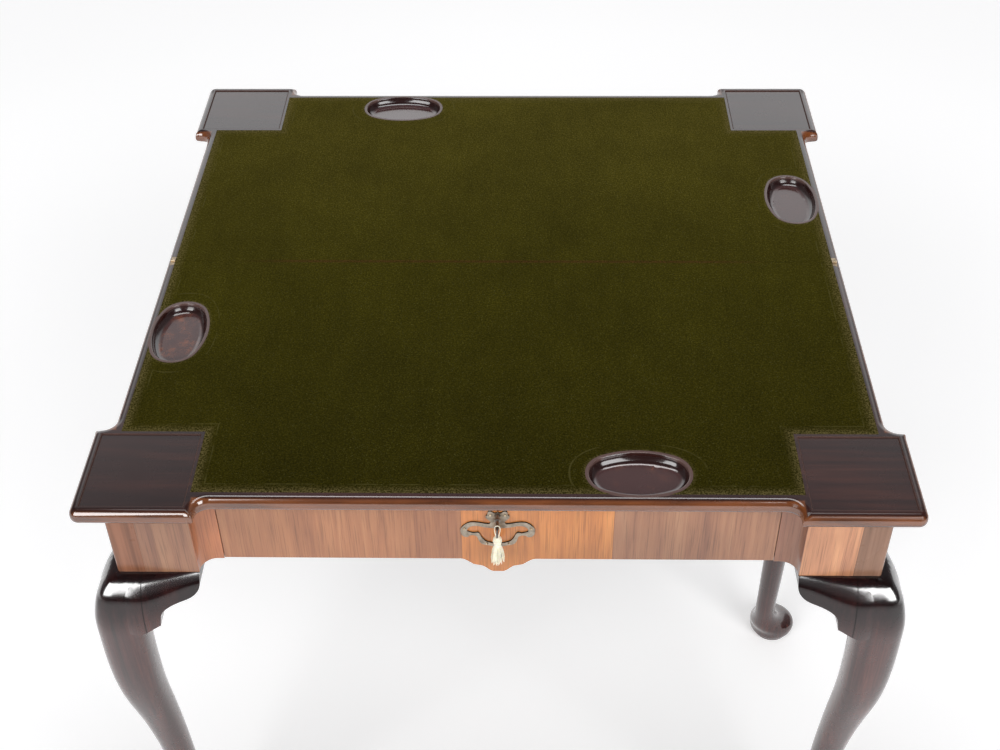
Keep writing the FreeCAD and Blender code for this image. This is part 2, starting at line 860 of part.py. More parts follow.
# Right half of the shaped apron, in shares of its half width and of its drop
apron_slope_shares = [(1.0, 0.0), (0.86, 0.05), (0.72, 0.26), (0.62, 0.44)]
apron_step_shares = [(0.40, 0.56), (0.30, 0.72), (0.20, 0.92), (0.12, 1.0)]


def drawer_face_edges(y):
    """Outline of the drawer front, with its apron, in the plane at y."""
    def point(shares, sign):
        return vec(sign * apron_half_width * shares[0], y, drawer_front_bottom - apron_drop * shares[1])
    low_left = vec(-drawer_half_width, y, drawer_front_bottom)
    low_right = vec(drawer_half_width, y, drawer_front_bottom)
    high_right = vec(drawer_half_width, y, drawer_front_top)
    high_left = vec(-drawer_half_width, y, drawer_front_top)
    edges = []
    for sign in (1, -1):
        slope = [point(shares, sign) for shares in apron_slope_shares]
        step = [point(shares, sign) for shares in apron_step_shares]
        corner = low_right if sign > 0 else low_left
        edges += [line(corner, slope[0]), smooth(slope), line(slope[-1], step[0]), smooth(step)]
    edges.append(line(point(apron_step_shares[-1], 1), point(apron_step_shares[-1], -1)))
    edges += [line(low_right, high_right), line(high_right, high_left), line(high_left, low_left)]
    return Part.__sortEdges__(edges)


def keyhole(y_low, y_high):
    """Round hole with a slot below it, right through between two depths."""
    half = keyhole_slot_width / 2
    barrel = rod(keyhole_radius, vec(0, y_low, key_axis_z), vec(0, y_high, key_axis_z))
    return barrel.fuse(block(-half, half, y_low, y_high, key_axis_z - keyhole_length, key_axis_z))


def drawer_side():
    """Left drawer side, with dovetails that enter the drawer front."""
    outer = -drawer_side_x
    inner = outer + drawer_board
    front = -drawer_front_back
    side = block(outer, inner, front, front + drawer_length, drawer_box_bottom, drawer_box_top)
    pitch = (drawer_box_top - drawer_box_bottom) / tail_count
    tails = []
    for index in range(tail_count):
        middle = drawer_box_bottom + pitch * (index + 1 / 2)
        narrow = tail_height / 2
        wide = narrow + tail_slope
        points = [
            vec(outer, front, middle - narrow),
            vec(outer, front - tail_depth, middle - wide),
            vec(outer, front - tail_depth, middle + wide),
            vec(outer, front, middle + narrow),
        ]
        tails.append(polygon(points, vec(drawer_board, 0, 0)))
    return side.fuse(tails)


def drawer_bottom():
    reach = drawer_side_x - drawer_board + drawer_groove
    low = drawer_box_bottom + drawer_bottom_raise
    front = -drawer_front_back - drawer_groove
    back = drawer_length - drawer_front_back
    return block(-reach, reach, front, back, low, low + drawer_bottom_thickness)


def drawer_back():
    """Back board, standing on the drawer bottom."""
    reach = drawer_side_x - drawer_board
    back = drawer_length - drawer_front_back
    low = drawer_box_bottom + drawer_bottom_raise + drawer_bottom_thickness
    return block(-reach, reach, back - drawer_board, back, low, drawer_box_top)


def drawer_front_core(tools):
    core = prism(drawer_face_edges(-front_face_y + veneer_thickness),
                 vec(0, drawer_front_thickness - veneer_thickness, 0))
    return one_solid(core.cut(tools))


# Lock and key

def lock_space(fit):
    """The pocket for the lock in the back of the drawer front, with the cap's shallow seat."""
    reach = lock_half_width + fit
    low = lock_bottom - fit
    pocket = block(-reach, reach, -lock_front - fit, -drawer_front_back, low, drawer_front_top + cut_overrun)
    seat = lock_half_width + lock_cap_margin + fit
    return pocket.fuse(block(-seat, seat, -lock_back, -drawer_front_back, low, drawer_front_top + cut_overrun))


def bolt_slab(play, z_low, z_high):
    reach = bolt_half_width + play
    back = -lock_back - lock_wall
    return block(-reach, reach, back - bolt_thickness - play, back + play, z_low, z_high)


def lock_case():
    """Iron tray, open at the back, with a slot for the bolt and holes for the key."""
    wall = lock_wall
    outer = block(-lock_half_width, lock_half_width, -lock_front, -lock_back, lock_bottom, drawer_front_top)
    hollow = block(wall - lock_half_width, lock_half_width - wall, wall - lock_front, -lock_back,
                   lock_bottom + wall, drawer_front_top - wall)
    slot = bolt_slab(bolt_play, key_axis_z, top_height)
    hole = keyhole(-lock_front - cut_overrun, -lock_front + wall + cut_overrun / 2)
    return one_solid(outer.cut([hollow, slot, hole]))


def lock_cap():
    reach = lock_half_width + lock_cap_margin
    cap = block(-reach, reach, -lock_back, -drawer_front_back, lock_bottom, drawer_front_top)
    return cap


def lock_screws():
    """Four screws through the cap's ears into the drawer front."""
    x = lock_half_width + lock_cap_margin / 2
    margin = lock_cap_margin
    screws = []
    for sign in (-1, 1):
        for z in (lock_bottom + margin, drawer_front_top - margin):
            start = vec(sign * x, -drawer_front_back, z)
            screws.append(rod(lock_screw_radius, start, start - y_axis * lock_screw_length))
    return screws


def bolt():
    """The bolt, drawn back level with the top of the drawer front."""
    low = key_axis_z + key_shank_radius + bolt_foot_gap
    upper = bolt_slab(0, low, drawer_front_top)
    lower = bolt_slab(0, lock_bottom + lock_wall + bolt_play, low)
    throat = 2 * (key_shank_radius + bolt_play)
    gap = block(-throat, throat, -lock_front, 0, 0, low)
    return one_solid(upper.fuse(lower.cut(gap)))


def key():
    """Key with its bit pointing down: bow, neck, collar, shank and bit."""
    tip = -lock_front + lock_wall + key_bit_width
    def bar(radius, start, end):
        return rod(radius, vec(0, start, key_axis_z), vec(0, end, key_axis_z))
    collar_front = -neck_start
    collar_back = -neck_start + key_collar_length
    shank = bar(key_shank_radius, collar_front, tip)
    collar = bar(key_collar_radius, collar_front, collar_back)
    neck = bar(key_neck_radius, -bow_start - key_bow_bar / 2, collar_front)
    bit_back = -lock_front + lock_wall + key_bit_width
    half = key_bit_thickness / 2
    bit = block(-half, half, bit_back - key_bit_width + bolt_play, bit_back,
                key_axis_z - key_shank_radius - key_bit_length, key_axis_z)
    bow = turned(key_bow(), vec(0, 0, key_axis_z), y_axis, 90)
    return one_solid(shank.fuse([collar, neck, bit, bow]))


def key_bow():
    """Oval ring for the end of the key, lying level."""
    half_x = key_bow_width / 2
    half_y = key_bow_length / 2
    centre = vec(0, -bow_start - half_y, key_axis_z - key_bow_thickness / 2)
    up = vec(0, 0, key_bow_thickness)
    outer = Part.Ellipse(centre, half_x, half_y).toShape()
    inner = Part.Ellipse(centre, half_x - key_bow_bar, half_y - key_bow_bar).toShape()
    ring = Part.Face(Part.Wire(outer)).extrude(up)
    ring = ring.cut(Part.Face(Part.Wire(inner)).extrude(up))
    rims = [edge for edge in ring.Edges if edge.BoundBox.ZLength < edge_match]
    return ring.makeFillet(key_bow_round, rims)


# Escutcheon outline, right half, in shares of the plate's half width and of its height
plate_head_shares = [
    (0.0, 0.02), (0.10, 0.045), (0.19, 0.0), (0.265, 0.035), (0.275, 0.09), (0.315, 0.13),
    (0.29, 0.20), (0.20, 0.265), (0.23, 0.345),
]
plate_wing_shares = [
    (0.23, 0.345), (0.38, 0.325), (0.55, 0.30), (0.74, 0.30), (0.90, 0.375), (1.0, 0.50), (0.995, 0.585),
    (0.94, 0.67), (0.84, 0.70), (0.77, 0.66),
]
plate_lower_shares = [
    (0.77, 0.66), (0.68, 0.65), (0.585, 0.67), (0.53, 0.75), (0.49, 0.835), (0.40, 0.90), (0.28, 0.92),
    (0.13, 0.955), (0.0, 1.0),
]
plate_window_top_shares = [
    (0.0, 0.46), (0.22, 0.445), (0.38, 0.425), (0.55, 0.395), (0.72, 0.41), (0.81, 0.47), (0.82, 0.545),
]
plate_window_low_shares = [
    (0.82, 0.545), (0.72, 0.575), (0.63, 0.585), (0.54, 0.575), (0.465, 0.66), (0.40, 0.75),
    (0.32, 0.815), (0.20, 0.85), (0.0, 0.885),
]


def plate_points(shares, sign):
    top = key_axis_z + plate_top_rise
    return [vec(sign * plate_half_width * a, -front_face_y, top - plate_height * b) for a, b in shares]


def plate_loop(rows):
    """A closed outline, the right half given by rows of points and the left half its mirror."""
    edges = [smooth(plate_points(row, sign)) for row in rows for sign in (1, -1)]
    return Part.Face(Part.Wire(Part.__sortEdges__(edges)))


def escutcheon():
    """Pierced brass plate round the keyhole."""
    out = vec(0, -plate_thickness, 0)
    plate = plate_loop([plate_head_shares, plate_wing_shares, plate_lower_shares]).extrude(out)
    window = plate_loop([plate_window_top_shares, plate_window_low_shares]).extrude(out)
    hole = keyhole(-front_face_y - 2 * plate_thickness, -front_face_y + plate_thickness)
    return one_solid(plate.cut([window, hole] + escutcheon_pins()))


# Places of the escutcheon's pins, in shares of its half width and of its height
plate_pin_shares = [(0.20, 0.10), (0.90, 0.47), (0.30, 0.875)]


def escutcheon_pins():
    """Small round-headed pins through the plate into the drawer front."""
    pins = []
    for sign in (-1, 1):
        for point in plate_points(plate_pin_shares, sign):
            front = point - y_axis * plate_thickness
            shank = rod(plate_pin_radius, front, front + y_axis * plate_pin_length)
            dome = Part.makeSphere(plate_pin_head_radius, front)
            cap = dome.common(block(-leaf_half_width, leaf_half_width, -leaf_depth, front.y, 0, top_height))
            pins.append(shank.fuse(cap))
    return pins


# Tassel

cord_top_rise = key_neck_radius + 2 * cord_radius
head_top = key_axis_z - tassel_head_drop
# Right half of the loop's route, from the middle of its top down to the tassel's head,
# in shares of the cord's diameter across and of the loop's drop down
loop_shares = [(0.96, 0.0), (2.29, 0.13), (2.42, 0.37), (1.92, 0.67), (1.0, 1.0)]


def loop_route():
    """Points of the cord's route, over the neck of the key."""
    top = key_axis_z + cord_top_rise - cord_radius / 2
    drop = top - head_top
    across = 2 * cord_radius
    right = [vec(across * a, -tassel_y, top - drop * b) for a, b in loop_shares]
    left = [vec(-point.x, point.y, point.z) for point in reversed(right)]
    return left + right


def cord_tube(points, radius):
    """A round cord along straight runs, joined by arcs as large as the runs allow."""
    edges = []
    start = points[0]
    radii = []
    for before, corner, after in zip(points, points[1:], points[2:]):
        back = (before - corner)
        ahead = (after - corner)
        turn = math.pi - back.getAngle(ahead)
        reach = 0.45 * min(back.Length, ahead.Length)
        radii.append(reach / math.tan(turn / 2))
        back.normalize()
        ahead.normalize()
        first = corner + back * reach
        last = corner + ahead * reach
        bisector = back + ahead
        bisector.normalize()
        centre = corner + bisector * math.hypot(reach, radii[-1])
        edges += [line(start, first), arc(first, centre, last)]
        start = last
    edges.append(line(start, points[-1]))
    path = Part.Wire(edges)
    run = points[1] - points[0]
    section = Part.Wire(Part.Circle(points[0], run, radius).toShape())
    tube = path.makePipeShell([section], True, False)
    print("cord radii, mm:", [round(value, 2) for value in radii])
    print("cord length, mm:", round(path.Length, 2), "volume share:",
          round(tube.Volume / (math.pi * radius ** 2 * path.Length), 4))
    return Part.makeSolid(tube) if tube.ShapeType != "Solid" else tube


def tassel_head():
    """Bound knot of the tassel: a ball above a narrow waist."""
    centre = vec(0, -tassel_y, 0)
    half = tassel_head_height / 2
    ball = Part.makeSphere(tassel_head_radius, centre + z_axis * (head_top - half))
    reach = 2 * tassel_head_radius
    keep = block(-reach, reach, -tassel_y - reach, reach - tassel_y, head_top - tassel_head_height, head_top)
    waist_low = head_top - tassel_head_height - tassel_waist_height
    waist = rod(tassel_waist_radius, centre + z_axis * waist_low, centre + z_axis * (head_top - half))
    return one_solid(ball.common(keep).fuse(waist))


def tassel_skirt():
    top = head_top - tassel_head_height - tassel_waist_height
    base = vec(0, -tassel_y, top - tassel_skirt_length)
    return Part.makeCone(tassel_skirt_radius, tassel_waist_radius, tassel_skirt_length, base)


# The finished pieces, one file each

def save(name, shape):
    solids = shape if isinstance(shape, list) else [shape]
    solids = [solid for item in solids for solid in item.Solids]
    whole = solids[0] if len(solids) == 1 else Part.makeCompound(solids)
    if not whole.isValid():
        print("not valid:", name)
    whole.exportStep("parts/%s.step" % name)


def save_top():
    leaf = plain_leaf()
    lowered = top_height - baize_recess
    cloth = baize_sheet(lowered, lowered + baize_thickness, -leaf_gap / 2)
    hinge_cuts = both_sides(hinge_groove()) + both_sides(hinge_seat(cut_overrun))
    screws = both_sides(hinge_screw())
    mortise = bolt_slab(bolt_play + cut_overrun, leaf_bottom - cut_overrun, leaf_bottom + bolt_travel + bolt_play)
    save("bed_leaf", one_solid(leaf.cut(hinge_cuts + screws + [mortise] + fixing_screws())))
    save("flap_leaf", one_solid(back_leaf(leaf.cut(hinge_cuts + screws))))
    save("bed_baize", cloth)
    save("flap_baize", back_leaf(cloth))
    bed_plate = hinge_plate(True)
    flap_plate = hinge_plate(False)
    save("right_bed_hinge_plate", bed_plate)
    save("left_bed_hinge_plate", flip_x(bed_plate))
    save("left_flap_hinge_plate", back_leaf(flap_plate))
    save("right_flap_hinge_plate", back_leaf(flip_x(flap_plate)))
    save("bed_hinge_screws", screws)
    save("flap_hinge_screws", [back_leaf(screw) for screw in screws])
    pin = hinge_rod(hinge_pin_radius, (hinge_low_x, hinge_high_x))
    save("hinge_pins", both_sides(pin))


def save_legs():
    wing = knee_wing()
    side_wing = across(wing)
    front_leg = leg(leaf_bottom, [wing, side_wing])
    rear_leg = leg(leaf_bottom, [side_wing])
    ear = front_ear(wing, 0)
    for name, sign in (("left", 1), ("right", -1)):
        def place(shape):
            shape = moved(shape, -block_face_x, -block_face_y)
            return shape if sign > 0 else flip_x(shape)
        save("front_%s_leg" % name, place(front_leg))
        save("front_%s_leg_front_ear" % name, place(ear))
        save("front_%s_leg_side_ear" % name, place(across(ear)))
    save("rear_right_leg", flip_x(moved(flip_y(rear_leg), -block_face_x)))
    save("rear_right_leg_ear", flip_x(moved(flip_y(across(ear)), -block_face_x)))
    gate = leg(leaf_bottom - gate_top_gap, [side_wing])
    save("gate_leg", gate_turn(moved(flip_y(gate), -block_face_x)))
    loose_ear = front_ear(wing, gate_ear_gap)
    save("gate_leg_ear", gate_turn(moved(flip_y(across(loose_ear)), -block_face_x)))


def save_frame():
    left_return = front_return()
    save("front_left_return", left_return)
    save("front_right_return", flip_x(left_return))
    front_block = moved(side_block(leg_post), y=-block_face_y)
    save("front_left_side_block", front_block)
    save("front_right_side_block", flip_x(front_block))
    save("rear_left_side_block", flip_y(side_block(side_rail_end)))
    save("rear_right_side_block", flip_x(flip_y(side_block(leg_post))))
    save("left_side_rail", side_rail(side_rail_end))
    save("right_side_rail", flip_x(side_rail(leg_post)))
    save("front_lower_rail", cross_rail(frieze_bottom))
    save("front_upper_rail", cross_rail(leaf_bottom - cross_rail_thickness))
    save("inner_rear_rail", inner_rail())
    save("fly_rail_spacers", fly_rail_spacers())
    save("fixed_fly_rail", fixed_fly_rail())
    save("gate_rail", gate_turn(gate_rail()))
    save("gate_knuckle_pin", pivot_rod(knuckle_pin_radius, fly_low, fly_high))
    save("glue_blocks", [item.cut(fixing_screws()) for item in glue_blocks()])
    save("top_fixing_screws", fixing_screws())
    save("left_drawer_runner", runner())
    save("right_drawer_runner", flip_x(runner()))
    save("left_drawer_kicker", kicker())
    save("right_drawer_kicker", flip_x(kicker()))


def save_drawer():
    left = drawer_side()
    right = flip_x(left)
    bottom = drawer_bottom()
    hole = keyhole(-front_face_y - cut_overrun, -lock_front + lock_wall)
    fixings = lock_screws() + escutcheon_pins()
    save("drawer_front", drawer_front_core([left, right, bottom, lock_space(lock_fit), hole] + fixings))
    veneer = prism(drawer_face_edges(-front_face_y), vec(0, veneer_thickness, 0))
    save("drawer_front_veneer", veneer.cut([hole] + escutcheon_pins()))
    save("left_drawer_side", one_solid(left.cut(bottom)))
    save("right_drawer_side", one_solid(right.cut(bottom)))
    save("drawer_back", drawer_back())
    save("drawer_bottom", bottom)


def save_lock():
    save("lock_case", lock_case())
    save("lock_cap", lock_cap().cut(lock_screws()))
    save("lock_bolt", bolt())
    save("lock_screws", lock_screws())
    save("escutcheon", escutcheon())
    save("escutcheon_pins", escutcheon_pins())
    save("key", key())
    save("tassel_cord", cord_tube(loop_route(), cord_radius))
    save("tassel_head", tassel_head())
    save("tassel_skirt", tassel_skirt())


os.makedirs("parts", exist_ok=True)
save_top()
save_legs()
save_frame()
save_drawer()
save_lock()
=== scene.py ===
import bpy
import json
import math
import random
from mathutils import Matrix, Vector

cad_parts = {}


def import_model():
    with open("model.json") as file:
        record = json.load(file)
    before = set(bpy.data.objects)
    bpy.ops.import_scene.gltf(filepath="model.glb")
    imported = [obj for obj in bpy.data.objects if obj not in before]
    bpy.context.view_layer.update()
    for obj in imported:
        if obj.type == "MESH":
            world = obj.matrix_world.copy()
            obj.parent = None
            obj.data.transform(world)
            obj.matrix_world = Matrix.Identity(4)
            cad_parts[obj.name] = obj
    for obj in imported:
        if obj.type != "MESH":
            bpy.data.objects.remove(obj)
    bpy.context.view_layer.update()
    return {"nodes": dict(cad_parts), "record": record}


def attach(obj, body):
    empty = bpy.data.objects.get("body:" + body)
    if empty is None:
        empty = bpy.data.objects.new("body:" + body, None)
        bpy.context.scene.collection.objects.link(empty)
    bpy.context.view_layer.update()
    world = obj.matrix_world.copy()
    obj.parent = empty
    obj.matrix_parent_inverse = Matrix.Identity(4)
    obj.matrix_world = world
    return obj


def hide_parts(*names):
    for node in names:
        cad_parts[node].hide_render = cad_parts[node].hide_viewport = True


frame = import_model()
nodes = frame["nodes"]
chance = random.Random(7)


# Sizes in metres: the frame's own, and the small ones of the part that the looks follow

def corners(name):
    """The lowest and the highest corner of a node of the frame, to a hundredth of a millimetre."""
    points = [vertex.co for vertex in nodes[name].data.vertices]
    return [[round(pick(point[axis] for point in points), 5) for axis in range(3)] for pick in (min, max)]


(_, leaf_front, _), (leaf_side, _, leaf_top) = corners("bed_leaf")
(block_side, _, block_foot), _ = corners("front_left_side_block")
(_, return_front, _), _ = corners("front_left_return")
(_, cord_front, _), (_, cord_back, cord_top) = corners("tassel_cord")

# Outline of the top without its moulded edge
nose = 0.006
corner_square = 0.115
setback = 0.020
corner_x = leaf_side - nose
corner_y = -leaf_front - nose
main_x = corner_x - setback
main_y = corner_y - setback
square_x = corner_x - corner_square
square_y = corner_y - corner_square

# Moulded edge: how far outside the outline it turns red, how far inside it the polish is dull, from
# where on its light band differs to each side, and from where on an edge belongs to a stand
red_from = 0.001
red_full = 0.004
turn_full = 0.001
turn_from = 0.003
light_reach = (0.28, 0.30)
stand_edge_x = (square_x - 0.015, square_x)
stand_edge_y = (corner_y - 0.017, corner_y - 0.007)

# Candle stands and cloth
front_lip = 0.005
side_lip = 0.0042
inner_lip = 0.004
cloth_x = main_x - front_lip
cloth_y = main_y - front_lip
stand_x = (square_x + inner_lip, corner_x - side_lip)
stand_y = (square_y + inner_lip, corner_y - front_lip)

# Wells: half sizes, places, the power of their oval and its mean radius, the worn lip, where the
# left well ends, which wells lie near and far, and the heights of walls and floors
well_long = 0.056
well_short = 0.0343
well_gap_to_edge = 0.0006
front_well_x = 0.147
side_well_y = -0.1375
well_power = 2.3
well_mean = 0.043
well_lip = 0.0050
well_lip_fade = 0.0008
well_rim_fade = 0.0010
well_edge = well_gap_to_edge + well_short
left_well_end = (-0.34, -0.30)
near_wells = (-0.2, -0.1)
far_well = (0.2, 0.3)
well_wall_top = leaf_top - 0.0020
well_wall_full = leaf_top - 0.0035
well_floor_top = leaf_top - 0.0075
well_floor_full = leaf_top - 0.0095

# Legs: foot of the veneer, the knee below it, and the glue lines of the front legs' ears
post_foot = (block_foot + 0.0002, block_foot + 0.0006)
knee = (0.515, 0.57)
glue_inset = 0.027
glue_width = 0.0010
glue_x = -block_side - glue_inset
glue_y = -return_front - glue_inset
glue_foot = (0.524, 0.528)
glue_back = (-0.31, -0.30)

# Cloth wear: the pressed line's distance from an edge, worn widths, the brown line of the fold
pressed_inset = 0.0125
worn_width = 0.013
ring_width = 0.004
fold_core = 0.0006
fold_width = 0.0042
fold_reach = (0.24, 0.34)

# Strips of veneer
block_edge = 0.3225
drawer_left_seam = -0.039
drawer_right_seam = 0.1234
strip_fade = 0.0004
seam_core = 0.0001
seam_width = 0.0005

# Any other fine line
line_core = 0.0003
line_width = 0.0011


# Node-tree helpers

def new_material(name):
    made = bpy.data.materials.new(name)
    made.use_nodes = True
    made.node_tree.nodes.clear()
    return made, made.node_tree


def node(tree, kind, values=None, **props):
    made = tree.nodes.new(kind)
    for key, value in props.items():
        setattr(made, key, value)
    for key, value in (values or {}).items():
        put(tree, made.inputs[key], value)
    return made


def put(tree, socket, value):
    if isinstance(value, bpy.types.NodeSocket):
        tree.links.new(value, socket)
    else:
        socket.default_value = value


def calc(tree, what, a, b=None, c=None, clamp=False):
    made = tree.nodes.new("ShaderNodeMath")
    made.operation = what
    made.use_clamp = clamp
    for index, value in enumerate((a, b, c)):
        if value is not None:
            put(tree, made.inputs[index], value)
    return made.outputs[0]


def times(tree, *parts):
    found = parts[0]
    for part in parts[1:]:
        found = calc(tree, "MULTIPLY", found, part)
    return found


def size_of(tree, value):
    return calc(tree, "ABSOLUTE", value)


def less(tree, a, b):
    return calc(tree, "SUBTRACT", a, b)


def rise(tree, low, high, value):
    """0 below low, 1 above high, smooth between."""
    made = node(tree, "ShaderNodeMapRange",
                {"Value": value, "From Min": low, "From Max": high}, interpolation_type="SMOOTHSTEP")
    return made.outputs[0]


def fall(tree, low, high, value):
    """1 below low, 0 above high, smooth between."""
    return less(tree, 1.0, rise(tree, low, high, value))


def soft_line(tree, value, middle, thin=line_core, thick=line_width):
    """1 within thin of the middle, 0 beyond thick of it."""
    return fall(tree, thin, thick, size_of(tree, less(tree, value, middle)))


def ramp(tree, value, stops):
    made = tree.nodes.new("ShaderNodeValToRGB")
    line = made.color_ramp
    while len(line.elements) < len(stops):
        line.elements.new(0.5)
    for element, (share, color) in zip(line.elements, stops):
        element.position = share
        element.color = (*color, 1)
    put(tree, made.inputs[0], value)
    return made.outputs[0]


def grey(value):
    return (value, value, value)


def mix(tree, share, a, b, how="MIX"):
    made = node(tree, "ShaderNodeMix", data_type="RGBA", blend_type=how)
    put(tree, made.inputs[0], share)
    for socket, value in ((made.inputs[6], a), (made.inputs[7], b)):
        put(tree, socket, (*value, 1) if isinstance(value, tuple) else value)
    return made.outputs[2]


def tinted(tree, color, tone):
    return mix(tree, 1.0, color, tone, "MULTIPLY")


def place(tree, scale=(1, 1, 1), shift=(0, 0, 0)):
    coords = node(tree, "ShaderNodeTexCoord").outputs["Object"]
    return node(tree, "ShaderNodeMapping", {"Vector": coords, "Scale": scale, "Location": shift}).outputs[0]


def spot(tree):
    """The three coordinates of a place on the piece."""
    return node(tree, "ShaderNodeSeparateXYZ", {"Vector": place(tree)}).outputs


def facing_up(tree):
    """1 where a surface is level and faces up, 0 where it is upright, below 0 underneath."""
    normal = node(tree, "ShaderNodeNewGeometry").outputs["Normal"]
    return node(tree, "ShaderNodeSeparateXYZ", {"Vector": normal}).outputs[2]


def noise(tree, where, scale, detail=4.0, rough=0.55, bend=0.0):
    return node(tree, "ShaderNodeTexNoise",
                {"Vector": where, "Scale": scale, "Detail": detail, "Roughness": rough,
                 "Distortion": bend}).outputs["Fac"]


def add_to(tree, values, name, mask, amount):
    """Changes one of the shader's values by an amount where the mask is 1."""
    values[name] = calc(tree, "MULTIPLY_ADD", mask, amount, values[name])


def paint(tree, values, share, color):
    values["Base Color"] = mix(tree, share, values["Base Color"], color)


def finish_material(tree, values, bump=None, strength=0.2, distance=0.0005):
    shader = node(tree, "ShaderNodeBsdfPrincipled")
    for key, value in values.items():
        if isinstance(value, tuple) and shader.inputs[key].type == "RGBA":
            value = (*value, 1)
        put(tree, shader.inputs[key], value)
    if bump is not None:
        made = node(tree, "ShaderNodeBump", {"Height": bump, "Strength": strength, "Distance": distance})
        put(tree, shader.inputs["Normal"], made.outputs[0])
    out = node(tree, "ShaderNodeOutputMaterial")
    put(tree, out.inputs[0], shader.outputs[0])
    return shader


# Places on the top

def least(tree, spans):
    found = spans[0]
    for span in spans[1:]:
        found = calc(tree, "MINIMUM", found, span)
    return found


def inside_top(tree, x, y):
    """How far inside the top's square-cornered outline a place is, below 0 outside it."""
    across, along = size_of(tree, x), size_of(tree, y)
    middle = least(tree, [less(tree, main_x, across), less(tree, main_y, along)])
    square = least(tree, [less(tree, corner_x, across), less(tree, corner_y, along),
                          less(tree, across, square_x), less(tree, along, square_y)])
    return calc(tree, "MAXIMUM", middle, square)


def well_gap(tree, x, y):
    """How far a place is from the rim of the nearest well, below 0 within it.
    The flap's wells are the bed's, turned half round."""
    here_x = times(tree, x, times(tree, calc(tree, "SIGN", y), -1.0))
    here_y = times(tree, size_of(tree, y), -1.0)
    wells = ((front_well_x, well_edge - main_y, well_long, well_short),
             (well_edge - main_x, side_well_y, well_short, well_long))
    rings = []
    for centre_x, centre_y, half_x, half_y in wells:
        parts = [calc(tree, "DIVIDE", less(tree, here_x, centre_x), half_x),
                 calc(tree, "DIVIDE", less(tree, here_y, centre_y), half_y)]
        powers = [calc(tree, "POWER", size_of(tree, part), well_power) for part in parts]
        radius = calc(tree, "POWER", calc(tree, "ADD", *powers), 1 / well_power)
        rings.append(times(tree, less(tree, radius, 1.0), well_mean))
    return least(tree, rings)


# Wood

def wood(name, tones, grain="z", rough=0.28, coat=0.6, coat_rough=0.06, figure=1.0, tint=None,
         coat_index=1.5, under=0.5, extra=None):
    """Polished or plain wood: figure and pores stretched along the grain."""
    made, tree = new_material(name)
    long = {"x": (0.07, 1, 1), "y": (1, 0.07, 1), "z": (1, 1, 0.07)}[grain]
    thin = {"x": (0.02, 1, 1), "y": (1, 0.02, 1), "z": (1, 1, 0.02)}[grain]
    bands = noise(tree, place(tree, long), 38.0 * figure, 5.0, 0.6, 0.7)
    broad = noise(tree, place(tree), 6.0, 3.0, 0.5, 0.4)
    pores = noise(tree, place(tree, thin), 900.0, 2.0, 0.6)
    streak = noise(tree, place(tree, thin), 210.0, 4.0, 0.65, 0.2)
    tone = calc(tree, "ADD", times(tree, bands, 0.6), times(tree, streak, 0.4))
    color = ramp(tree, tone, [(0.34, tones[0]), (0.5, tones[1]), (0.66, tones[2])])
    color = tinted(tree, color, ramp(tree, broad, [(0.35, grey(0.78)), (0.65, grey(1.12))]))
    dots = ramp(tree, pores, [(0.36, grey(0.62)), (0.46, grey(1.0))])
    color = mix(tree, 0.7, color, dots, "MULTIPLY")
    if tint is not None:
        color = tint(tree, color)
    height = calc(tree, "ADD", times(tree, pores, 0.5), times(tree, streak, 0.5))
    worn = noise(tree, place(tree), 22.0, 4.0, 0.6)
    spread = calc(tree, "MULTIPLY_ADD", worn, 0.16, rough - 0.08)
    values = {"Base Color": color, "Roughness": spread, "Specular IOR Level": under,
              "Coat Weight": coat, "Coat Roughness": coat_rough, "Coat IOR": coat_index}
    if extra is not None:
        extra(tree, values)
    finish_material(tree, values, height, 0.24 * under, 0.0003)
    return made


def veneer_tint(seams, tones, dark_lines=True):
    """Strips of veneer along X, each with its own tone, and a fine dark line between them."""
    def tint(tree, color):
        x = spot(tree)[0]
        tone = tones[0]
        for edge, next_tone in zip(seams, tones[1:]):
            tone = mix(tree, rise(tree, edge - strip_fade, edge + strip_fade, x), tone, next_tone)
        color = tinted(tree, color, tone)
        for edge in seams if dark_lines else ():
            line = soft_line(tree, x, edge, seam_core, seam_width)
            color = mix(tree, times(tree, line, 0.5), color, (0.06, 0.025, 0.015))
        return color
    return tint


def moulded_edge(tree, values, x, y):
    """Redder wood outside the flat field. On the stands the polish is dull where the edge starts to
    turn; its light band is stronger on the left and weaker on the right. Gives the outside back."""
    inside = inside_top(tree, x, y)
    outside = fall(tree, -red_full, -red_from, inside)
    streak = noise(tree, place(tree, (0.1, 0.1, 1)), 90.0, 4.0, 0.6)
    red = ramp(tree, streak, [(0.35, (0.085, 0.026, 0.009)), (0.65, (0.24, 0.072, 0.020))])
    paint(tree, values, times(tree, outside, 0.9), red)
    up = facing_up(tree)
    start = times(tree, rise(tree, 0.86, 0.91, up), fall(tree, 0.990, 0.998, up))
    stand = times(tree, rise(tree, *stand_edge_x, size_of(tree, x)),
                  rise(tree, *stand_edge_y, size_of(tree, y)))
    start = times(tree, start, fall(tree, turn_full, turn_from, inside), stand)
    band = times(tree, rise(tree, 0.40, 0.52, up), fall(tree, 0.84, 0.90, up), outside)
    left = times(tree, band, rise(tree, *light_reach, times(tree, x, -1.0)))
    right = times(tree, band, rise(tree, *light_reach, x))
    add_to(tree, values, "Coat IOR", left, 0.6)
    add_to(tree, values, "Coat Weight", start, -0.60)
    add_to(tree, values, "Coat Weight", right, -0.68)
    return outside


